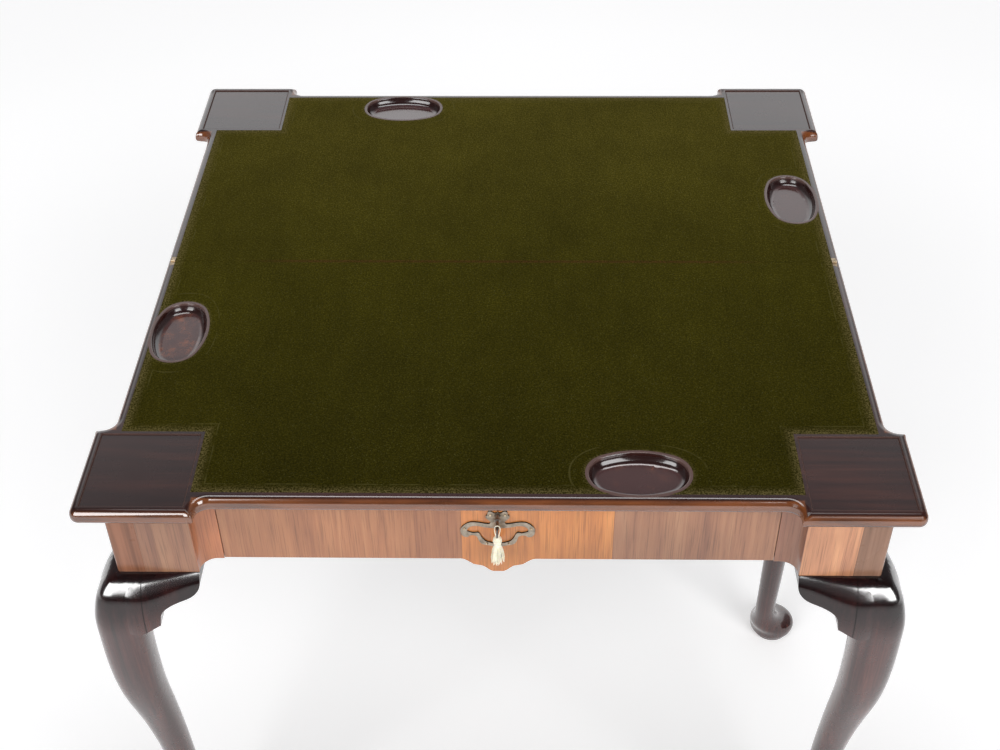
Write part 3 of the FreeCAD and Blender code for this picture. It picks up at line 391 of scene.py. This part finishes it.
def stand_rims(tree, values, x, y):
    """Paler line round each candle stand: wear, with a painted highlight of its rounded rim."""
    spans = []
    for value, (inner, outer) in ((x, stand_x), (y, stand_y)):
        off = size_of(tree, less(tree, size_of(tree, value), (inner + outer) / 2))
        spans.append(less(tree, off, (outer - inner) / 2))
    line = soft_line(tree, calc(tree, "MAXIMUM", *spans), 0.0)
    # Painted highlight with wear: the line is made paler and its polish duller
    paint(tree, values, times(tree, line, 0.55), (0.13, 0.078, 0.066))
    add_to(tree, values, "Coat Weight", line, -0.66)
    add_to(tree, values, "Coat Roughness", line, 0.3)
    add_to(tree, values, "Specular IOR Level", line, -0.2)


def wells(tree, values, x, y, z, outside):
    """Worn rims, walls darkened with painted shade, and warmer floors."""
    gap = well_gap(tree, x, y)
    ring = times(tree, rise(tree, -well_lip, well_lip_fade - well_lip, gap),
                 fall(tree, 0.0, well_rim_fade, gap))
    paint(tree, values, times(tree, ring, 0.75), (0.135, 0.080, 0.070))
    add_to(tree, values, "Coat Weight", ring, -0.35)
    # Painted shade: the walls down in the well are made near black
    wall = fall(tree, well_wall_full, well_wall_top, z)
    wall = times(tree, wall, less(tree, 1.0, outside))
    paint(tree, values, times(tree, wall, 0.85), (0.016, 0.0035, 0.003))
    add_to(tree, values, "Coat Roughness", wall, 0.05)
    bottom = fall(tree, well_floor_full, well_floor_top, z)
    bottom = times(tree, bottom, rise(tree, 0.85, 0.98, facing_up(tree)))
    # All but the left well are polished brighter, the far one most, and have no stains
    others = rise(tree, *left_well_end, x)
    gain = calc(tree, "MULTIPLY_ADD", fall(tree, *near_wells, y), 0.15, 0.15)
    gain = calc(tree, "MULTIPLY_ADD", rise(tree, *far_well, y), 0.55, gain)
    add_to(tree, values, "Coat IOR", times(tree, gain, bottom, others), 1.0)
    stains = noise(tree, place(tree), 75.0, 4.0, 0.65)
    stains = calc(tree, "MULTIPLY_ADD", others, -0.14, stains)
    warm = ramp(tree, stains, [(0.42, (0.064, 0.018, 0.016)), (0.56, (0.10, 0.030, 0.020)),
                               (0.68, (0.22, 0.062, 0.028))])
    paint(tree, values, times(tree, bottom, 0.85), warm)


def worked_top(tree, values):
    """The top's wood: moulded edge, rims of the stands, and the wells."""
    x, y, z = spot(tree)
    outside = moulded_edge(tree, values, x, y)
    stand_rims(tree, values, x, y)
    wells(tree, values, x, y, z, outside)


def veneered_post(tree, values):
    """A leg's wood: the frame's veneer on the square post, a darker glossy knee, the ears' glue lines."""
    x, y, z = spot(tree)
    post = rise(tree, *post_foot, z)
    bands = noise(tree, place(tree, (1, 1, 0.07)), 60.0, 5.0, 0.6, 0.7)
    fine = noise(tree, place(tree, (1, 1, 0.02)), 210.0, 4.0, 0.65, 0.2)
    tone = calc(tree, "ADD", times(tree, bands, 0.6), times(tree, fine, 0.4))
    veneer = ramp(tree, tone, [(0.34, (0.17, 0.090, 0.055)), (0.5, (0.27, 0.15, 0.095)),
                               (0.66, (0.36, 0.21, 0.14))])
    side_tone = mix(tree, fall(tree, -0.01, 0.01, x), (0.92, 0.86, 0.84), (0.98, 0.72, 0.60))
    paint(tree, values, post, tinted(tree, veneer, side_tone))
    # Knee: near black, with a strong reflection where it turns from the top to the front
    below = less(tree, 1.0, post)
    dark = times(tree, rise(tree, *knee, z), below)
    paint(tree, values, dark, tinted(tree, values["Base Color"], (0.22, 0.19, 0.25)))
    up = facing_up(tree)
    raised = times(tree, rise(tree, 0.40, 0.56, up), fall(tree, 0.76, 0.90, up))
    gain = calc(tree, "MULTIPLY_ADD", raised, 1.60, -0.24)
    add_to(tree, values, "Coat IOR", times(tree, dark, gain), 1.0)
    add_to(tree, values, "Coat Roughness", times(tree, dark, raised), 0.07)
    # Dark glue lines where the front legs' ears are set on
    zone = times(tree, rise(tree, *glue_foot, z), below, fall(tree, *glue_back, y))
    for value, plane in ((x, glue_x), (y, glue_y)):
        line = times(tree, soft_line(tree, size_of(tree, value), plane, line_core, glue_width), zone)
        paint(tree, values, times(tree, line, 0.8), (0.004, 0.002, 0.0015))
        add_to(tree, values, "Coat Weight", line, -0.5)
    add_to(tree, values, "Coat Weight", post, -0.5)
    add_to(tree, values, "Coat Roughness", post, 0.08)


# Cloth

def baize():
    """Matt napped cloth: fine specks, worn rims, pressed lines and the brown line of the fold."""
    made, tree = new_material("baize")
    x, y, _ = spot(tree)
    across, along = size_of(tree, x), size_of(tree, y)
    outer = least(tree, [less(tree, cloth_x, across), less(tree, cloth_y, along)])
    corner = calc(tree, "MAXIMUM", less(tree, square_x, across), less(tree, square_y, along))
    rim = least(tree, [outer, corner])
    well = well_gap(tree, x, y)
    edge = least(tree, [rim, well])
    fibre = noise(tree, place(tree), 520.0, 3.0, 0.7)
    speck = noise(tree, place(tree, shift=(3, 1, 0)), 900.0, 1.0, 0.5)
    cloud = noise(tree, place(tree), 9.0, 4.0, 0.6)
    brush = noise(tree, place(tree, (1, 0.25, 1)), 60.0, 3.0, 0.6)
    color = ramp(tree, fibre, [(0.30, (0.013, 0.0118, 0.0008)), (0.52, (0.0265, 0.0232, 0.0016)),
                               (0.74, (0.058, 0.050, 0.006))])
    # Painted sheen: the cloth is made paler where it is seen at a low angle
    sheen_by_angle = node(tree, "ShaderNodeLayerWeight", {"Blend": 0.5}).outputs["Facing"]
    color = tinted(tree, color, ramp(tree, sheen_by_angle, [(0.24, (0.58, 0.56, 0.40)), (0.40, (1.42, 1.40, 1.45)),
                                                 (0.55, (2.9, 2.75, 4.8))]))
    light = rise(tree, 0.66, 0.74, speck)
    color = mix(tree, times(tree, light, 0.45), color, (0.13, 0.125, 0.045))
    color = tinted(tree, color, ramp(tree, cloud, [(0.3, grey(0.86)), (0.7, grey(1.14))]))
    color = tinted(tree, color, ramp(tree, brush, [(0.3, grey(0.93)), (0.7, grey(1.07))]))
    # Pressed line round the border and round each well
    pressed = soft_line(tree, edge, pressed_inset)
    patch = rise(tree, 0.42, 0.6, noise(tree, place(tree), 30.0, 3.0))
    color = mix(tree, times(tree, pressed, patch, 0.38), color, (0.10, 0.088, 0.028))
    # Worn, dusty rim
    worn = fall(tree, 0.0, worn_width, rim)
    ring = fall(tree, 0.0, ring_width, well)
    worn = calc(tree, "MAXIMUM", worn, times(tree, ring, 0.5))
    worn = times(tree, worn, rise(tree, 0.42, 0.60, fibre))
    color = mix(tree, times(tree, worn, 0.62), color, (0.17, 0.135, 0.055))
    # Brown line of the fold
    fold = times(tree, fall(tree, fold_core, fold_width, along), fall(tree, *fold_reach, across))
    fold = times(tree, fold, rise(tree, 0.35, 0.6, fibre))
    color = mix(tree, times(tree, fold, 0.7), color, (0.075, 0.030, 0.010))
    height = calc(tree, "ADD", times(tree, fibre, 0.7), times(tree, pressed, -0.3))
    finish_material(tree, {"Base Color": color, "Roughness": 0.95, "Specular IOR Level": 0.02,
                           "Sheen Weight": 0.05, "Sheen Roughness": 0.45,
                           "Sheen Tint": (0.60, 0.55, 0.22)}, height, 0.65, 0.0006)
    return made


def silk():
    """Pale cord and strands with a soft sheen."""
    made, tree = new_material("silk")
    fine = noise(tree, place(tree, (1, 1, 0.2)), 1400.0, 3.0, 0.6)
    color = ramp(tree, fine, [(0.3, (0.97, 0.88, 0.64)), (0.6, (1.0, 0.965, 0.80))])
    values = {"Base Color": color, "Roughness": 0.5, "Sheen Weight": 0.4,
              "Subsurface Weight": 0.15, "Subsurface Radius": (0.002, 0.0015, 0.001)}
    finish_material(tree, values, fine, 0.3, 0.0002)
    return made


# Metal

def worn_normal(tree, height, strength, width):
    """Bump over an edge that reads as worn round."""
    edge = node(tree, "ShaderNodeBevel", {"Radius": width}, samples=6).outputs[0]
    return node(tree, "ShaderNodeBump", {"Height": height, "Strength": strength, "Distance": 0.0002,
                                         "Normal": edge}).outputs[0]


def old_plate():
    """Thin cast plate gone grey-brown, with painted shade on its edges that face up and a painted highlight
    on those that face down.
    """
    made, tree = new_material("old_plate")
    patch = noise(tree, place(tree), 150.0, 5.0, 0.65)
    fine = noise(tree, place(tree), 1100.0, 3.0, 0.6)
    share = ramp(tree, patch, [(0.36, grey(0.0)), (0.66, grey(1.0))])
    color = mix(tree, share, (0.43, 0.37, 0.295), (0.21, 0.175, 0.135))
    up = facing_up(tree)
    # Painted shade on the edges that face up, painted highlight on the edges that face down
    color = mix(tree, rise(tree, 0.25, 0.6, up), color, (0.018, 0.013, 0.010))
    color = mix(tree, rise(tree, 0.25, 0.6, times(tree, up, -1.0)), color, (0.72, 0.62, 0.54))
    spread = calc(tree, "MULTIPLY_ADD", patch, 0.22, 0.24)
    shader = finish_material(tree, {"Base Color": color, "Metallic": 0.85, "Roughness": spread})
    put(tree, shader.inputs["Normal"], worn_normal(tree, calc(tree, "ADD", fine, patch), 0.35, 0.00055))
    return made


def metal(name, color, dirt, rough, spots=60.0):
    """Aged metal: tarnish in patches, fine scratches."""
    made, tree = new_material(name)
    patch = noise(tree, place(tree), spots, 5.0, 0.65)
    fine = noise(tree, place(tree), spots * 14, 3.0, 0.6)
    share = ramp(tree, patch, [(0.35, grey(0.0)), (0.68, grey(1.0))])
    tone = mix(tree, share, color, dirt)
    spread = calc(tree, "MULTIPLY_ADD", patch, 0.25, rough - 0.1)
    finish_material(tree, {"Base Color": tone, "Metallic": 1.0, "Roughness": spread}, fine, 0.15, 0.0001)
    return made


# A material for every node

dark_tones = ((0.014, 0.0042, 0.0036), (0.029, 0.0085, 0.0066), (0.060, 0.018, 0.012))
leg_tones = ((0.018, 0.0050, 0.0045), (0.052, 0.0125, 0.0110), (0.120, 0.032, 0.022))
veneer_tones = ((0.36, 0.125, 0.046), (0.50, 0.185, 0.064), (0.59, 0.24, 0.084))
oak_tones = ((0.17, 0.10, 0.055), (0.27, 0.165, 0.09), (0.36, 0.23, 0.13))
block_tint = veneer_tint((-block_edge, 0.0, block_edge),
                         ((0.60, 0.74, 1.16), (0.95, 0.92, 1.12), (0.54, 0.62, 1.06), (1.10, 1.34, 1.95)),
                         dark_lines=False)
drawer_tint = veneer_tint((drawer_left_seam, drawer_right_seam),
                          ((0.72, 0.80, 1.06), (1.13, 1.13, 0.94), (0.68, 0.84, 1.30)))

materials = {
    "top_wood": wood("top_wood", dark_tones, "x", 0.26, 0.75, 0.08, coat_index=1.92, under=0.2,
                     extra=worked_top),
    "leg_wood": wood("leg_wood", leg_tones, "z", 0.28, 0.95, 0.10, coat_index=1.69, under=0.15,
                     extra=veneered_post),
    "veneer": wood("veneer", veneer_tones, "z", 0.34, 0.45, 0.12, figure=1.6, tint=block_tint),
    "drawer_veneer": wood("drawer_veneer", veneer_tones, "z", 0.34, 0.45, 0.12, figure=1.6,
                          tint=drawer_tint),
    "oak": wood("oak", oak_tones, "x", 0.6, 0.0, 0.3),
    "oak_deep": wood("oak_deep", oak_tones, "y", 0.6, 0.0, 0.3),
    "baize": baize(),
    "old_plate": old_plate(),
    "brass": metal("brass", (0.80, 0.66, 0.47), (0.30, 0.22, 0.14), 0.34),
    "iron": metal("iron", (0.16, 0.15, 0.14), (0.07, 0.055, 0.045), 0.5),
    "steel": metal("steel", (0.30, 0.28, 0.26), (0.10, 0.08, 0.07), 0.36),
    "silk": silk(),
}

# Oak pieces whose grain runs from the front to the back
deep = ("side", "runner", "kicker", "gate_rail")
slots = {row["node"]: row["material_slot"] for row in frame["record"]["subparts"]}
for name, shape in nodes.items():
    kind = slots[name]
    if name == "drawer_front_veneer":
        kind = "drawer_veneer"
    if name == "escutcheon":
        kind = "old_plate"
    if kind == "oak" and any(word in name for word in deep):
        kind = "oak_deep"
    shape.data.materials.clear()
    shape.data.materials.append(materials[kind])


# Softened edges of the plain pieces

def soften(shape, width):
    """Joins split corners, rounds sharp edges a little and evens the shading."""
    mesh = shape.data
    for name in ("custom_normal", "sharp_edge"):
        if name in mesh.attributes:
            mesh.attributes.remove(mesh.attributes[name])
    mesh.polygons.foreach_set("use_smooth", [True] * len(mesh.polygons))
    shape.modifiers.new("join", "WELD").merge_threshold = 0.00001
    round_off = shape.modifiers.new("round", "BEVEL")
    round_off.width = width
    round_off.segments = 2
    round_off.limit_method = "ANGLE"
    round_off.angle_limit = math.radians(35)
    even = shape.modifiers.new("even", "WEIGHTED_NORMAL")
    even.weight = 100
    even.keep_sharp = True


plain = [
    "front_left_return", "front_right_return", "front_left_side_block", "front_right_side_block",
    "rear_left_side_block", "rear_right_side_block", "left_side_rail", "right_side_rail",
    "front_upper_rail", "front_lower_rail", "inner_rear_rail", "fly_rail_spacers", "drawer_back",
    "drawer_bottom", "left_drawer_runner", "right_drawer_runner", "left_drawer_kicker",
    "right_drawer_kicker", "left_drawer_side", "right_drawer_side",
]
edge_round = 0.0005
for name in plain:
    soften(nodes[name], edge_round)


# Tassel: cord, knot, binding and fringe, as drops below the knot's top

cord_radius = 0.0006
cord_width = 2 * cord_radius
strand_radius = 0.00042
fringe_radius = 0.00032
tassel_y = (cord_front + cord_back) / 2
loop_top = cord_top - cord_radius
loop_height = 0.0167
knot_top = round(loop_top - loop_height, 5)
waist_drop = 0.0108
knot_strands = 40
knot_lean = 0.1
lean_waves = 900
fringe_strands = 190
fringe_top = knot_top - 0.0124
fringe_end = knot_top - 0.0382
fringe_waist = 0.0031
fringe_flare = 0.0045
fringe_ragged = 0.0058
short_by = 0.003
short_share = 0.12


def linked(name, data):
    """Puts new geometry in the scene, on the tassel's body."""
    made = bpy.data.objects.new(name, data)
    bpy.context.scene.collection.objects.link(made)
    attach(made, "tassel")
    return made


def curve(name, paths, radius, material):
    """Round strands along smooth paths."""
    data = bpy.data.curves.new(name, "CURVE")
    data.dimensions = "3D"
    data.resolution_u = 12
    data.bevel_depth = radius
    data.bevel_resolution = 3
    data.use_fill_caps = True
    for path in paths:
        spline = data.splines.new("NURBS")
        spline.points.add(len(path) - 1)
        for point, where in zip(spline.points, path):
            point.co = (*where, 1)
        spline.order_u = 3
        spline.use_endpoint_u = True
    data.materials.append(material)
    return linked(name, data)


def lathe(name, profile, steps, material):
    """A turned shape round the tassel's axis, from radius and height pairs."""
    points, faces = [], []
    for radius, z in profile:
        for step in range(steps):
            angle = 2 * math.pi * step / steps
            points.append(around(radius, angle, z))
    for row in range(len(profile) - 1):
        for step in range(steps):
            ahead = (step + 1) % steps
            faces.append((row * steps + step, row * steps + ahead,
                          (row + 1) * steps + ahead, (row + 1) * steps + step))
    faces.append(tuple(range(steps))[::-1])
    faces.append(tuple((len(profile) - 1) * steps + step for step in range(steps)))
    mesh = bpy.data.meshes.new(name)
    mesh.from_pydata(points, [], faces)
    mesh.polygons.foreach_set("use_smooth", [True] * len(mesh.polygons))
    mesh.materials.append(material)
    return linked(name, mesh)


def around(radius, angle, z):
    """A point round the tassel's axis."""
    return (radius * math.cos(angle), tassel_y + radius * math.sin(angle), z)


def strands_over_knot():
    """Strands over the knot and into the binding, each leaning a little."""
    profile = ((0.0012, 0.0001), (0.0036, 0.0013), (0.0046, 0.0053), (0.0042, 0.0083),
               (0.0030, waist_drop), (0.0030, 0.0128))
    paths = []
    for index in range(knot_strands):
        angle = 2 * math.pi * index / knot_strands + chance.uniform(-0.05, 0.05)
        path = []
        for radius, drop in profile:
            z = knot_top - drop
            path.append(around(radius, angle + knot_lean * math.sin(z * lean_waves + index), z))
        paths.append(path)
    return paths


def fringe_paths():
    """Strands of the skirt, each with its own length and spread."""
    paths = []
    for index in range(fringe_strands):
        angle = chance.uniform(0, 2 * math.pi)
        depth = math.sqrt(chance.uniform(0.05, 1.0))
        end = fringe_end + chance.uniform(0.0, fringe_ragged)
        end += short_by if chance.random() < short_share else 0
        path = []
        for share in (0.0, 0.22, 0.5, 0.8, 1.0):
            z = fringe_top + (end - fringe_top) * share
            swell = fringe_waist + fringe_flare * share ** 0.6 + chance.uniform(-0.0006, 0.0004) * share
            turn = angle + chance.uniform(-0.08, 0.08) * share
            path.append(around(swell * depth, turn, z))
        paths.append(path)
    return paths


def binding_path():
    """Five turns of thread round the waist."""
    steps, turns, radius, height = 100, 5, 0.0036, 0.0024
    return [around(radius, 2 * math.pi * turns * step / steps, knot_top - waist_drop - height * step / steps)
            for step in range(steps + 1)]


# Half the loop: widths of cord to the side, and shares of the way down
half_loop = [(0.96, 0.0), (2.29, 0.13), (2.42, 0.37), (1.92, 0.67), (1.0, 1.0)]
right = [(cord_width * out, tassel_y, loop_top - (loop_top - knot_top) * down)
         for out, down in half_loop]
left = [(-x, y, z) for x, y, z in reversed(right)]
loop = curve("tassel_loop", [left + right], cord_radius, materials["silk"])
over_knot = strands_over_knot()
skirt = fringe_paths()
core_profile = [(0.0004, 0.0001), (0.0032, 0.0015), (0.0041, 0.0053), (0.0037, 0.0083),
                (0.0026, waist_drop), (0.0026, 0.0135), (0.0004, 0.0140)]
core = lathe("tassel_knot", [(radius, knot_top - drop) for radius, drop in core_profile], 32,
             materials["silk"])
strands = curve("tassel_knot_strands", over_knot, strand_radius, materials["silk"])
fringe = curve("tassel_fringe", skirt, fringe_radius, materials["silk"])
binding = curve("tassel_binding", [binding_path()], fringe_radius, materials["silk"])
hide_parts("tassel_cord")
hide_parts("tassel_head")
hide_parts("tassel_skirt")


# Floor, world and lights

def seen_straight(tree, glossy):
    """1 for the rays that should see plain paper: camera and transmission rays, glossy ones if asked."""
    rays = node(tree, "ShaderNodeLightPath").outputs
    seen = calc(tree, "ADD", rays["Is Camera Ray"], rays["Is Transmission Ray"], clamp=True)
    if glossy:
        seen = calc(tree, "ADD", seen, rays["Is Glossy Ray"], clamp=True)
    return seen


def floor():
    """Pale paper that keeps the shadow and grows to white away from the table."""
    mesh = bpy.data.meshes.new("floor")
    side, front, back = 9, -7, 11
    mesh.from_pydata([(-side, front, 0), (side, front, 0), (side, back, 0), (-side, back, 0)], [],
                     [(0, 1, 2, 3)])
    made, tree = new_material("floor")
    far = node(tree, "ShaderNodeVectorMath", {0: place(tree)}, operation="LENGTH").outputs["Value"]
    along = spot(tree)[1]
    glow = calc(tree, "MULTIPLY_ADD", rise(tree, 0.5, 2.0, far), 0.18, 0.30)
    glow = calc(tree, "MULTIPLY_ADD", rise(tree, -0.35, 0.0, along), 0.115, glow)
    glow = calc(tree, "MULTIPLY_ADD", rise(tree, 2.0, 6.0, far), 0.3, glow)
    glow = times(tree, seen_straight(tree, glossy=True), glow)
    finish_material(tree, {"Base Color": (0.80, 0.80, 0.805), "Roughness": 0.75, "Specular IOR Level": 0.2,
                           "Emission Color": (1.0, 1.0, 1.0), "Emission Strength": glow})
    mesh.materials.append(made)
    made = bpy.data.objects.new("floor", mesh)
    bpy.context.scene.collection.objects.link(made)


def world():
    """White paper behind the table at eye level, dim above it, to the sides and behind the camera."""
    made = bpy.data.worlds.new("world")
    made.use_nodes = True
    tree = made.node_tree
    tree.nodes.clear()
    way = node(tree, "ShaderNodeTexCoord").outputs["Generated"]
    x, y, z = node(tree, "ShaderNodeSeparateXYZ", {"Vector": way}).outputs
    glossy = node(tree, "ShaderNodeLightPath").outputs["Is Glossy Ray"]
    paper = mix(tree, glossy, (1.0, 1.02, 1.04), (1.24, 1.27, 1.29))
    back = mix(tree, rise(tree, 0.49, 0.75, z), paper, (0.18, 0.165, 0.175))
    turned = calc(tree, "DIVIDE", size_of(tree, x), calc(tree, "MAXIMUM", y, 0.01))
    back = mix(tree, rise(tree, 0.55, 1.0, turned), back, (0.16, 0.155, 0.16))
    shade = mix(tree, rise(tree, -0.25, 0.35, y), (0.05, 0.05, 0.052), back)
    color = mix(tree, seen_straight(tree, glossy=False), shade, (0.966, 0.966, 0.968))
    light = node(tree, "ShaderNodeBackground", {"Color": color, "Strength": 1.0})
    put(tree, node(tree, "ShaderNodeOutputWorld").inputs[0], light.outputs[0])
    bpy.context.scene.world = made


def softbox(name, where, aim, wide, high, radiance):
    """A rectangular light that the camera can't see."""
    data = bpy.data.lights.new(name, "AREA")
    data.shape = "RECTANGLE"
    data.size, data.size_y = wide, high
    data.energy = radiance * math.pi * wide * high
    made = bpy.data.objects.new(name, data)
    bpy.context.scene.collection.objects.link(made)
    made.location = where
    made.rotation_mode = "QUATERNION"
    made.rotation_quaternion = (Vector(aim) - Vector(where)).to_track_quat("-Z", "Y")
    made.visible_camera = False


floor()
world()
for name, side in (("left_box", -1), ("right_box", 1)):
    softbox(name, (2.0 * side, -2.86, 2.35), (0.4 * side, -0.4, 0.6), 1.85, 2.75, 5.3)
softbox("ceiling", (0, 0.1, 3.4), (0, 0, 0.6), 2.4, 0.7, 4.5)


def camera():
    """The photograph's camera: place, three turns and lens."""
    where = (0.0279, -1.3927, 1.7466)
    yaw, pitch, roll = (math.radians(value) for value in (-1.337, 41.244, -0.681))
    ahead = Vector((math.sin(yaw) * math.cos(pitch), math.cos(yaw) * math.cos(pitch), -math.sin(pitch)))
    level = Vector((math.cos(yaw), -math.sin(yaw), 0))
    upward = level.cross(ahead)
    across = level * math.cos(roll) + upward * math.sin(roll)
    upright = upward * math.cos(roll) - level * math.sin(roll)
    data = bpy.data.cameras.new("camera")
    data.lens = 50.37
    data.sensor_width = 36
    made = bpy.data.objects.new("camera", data)
    turn = Matrix((across, upright, -ahead)).transposed().to_4x4()
    made.matrix_world = Matrix.Translation(where) @ turn
    bpy.context.scene.collection.objects.link(made)
    bpy.context.scene.camera = made


camera()
bpy.context.scene.view_settings.view_transform = "Standard"
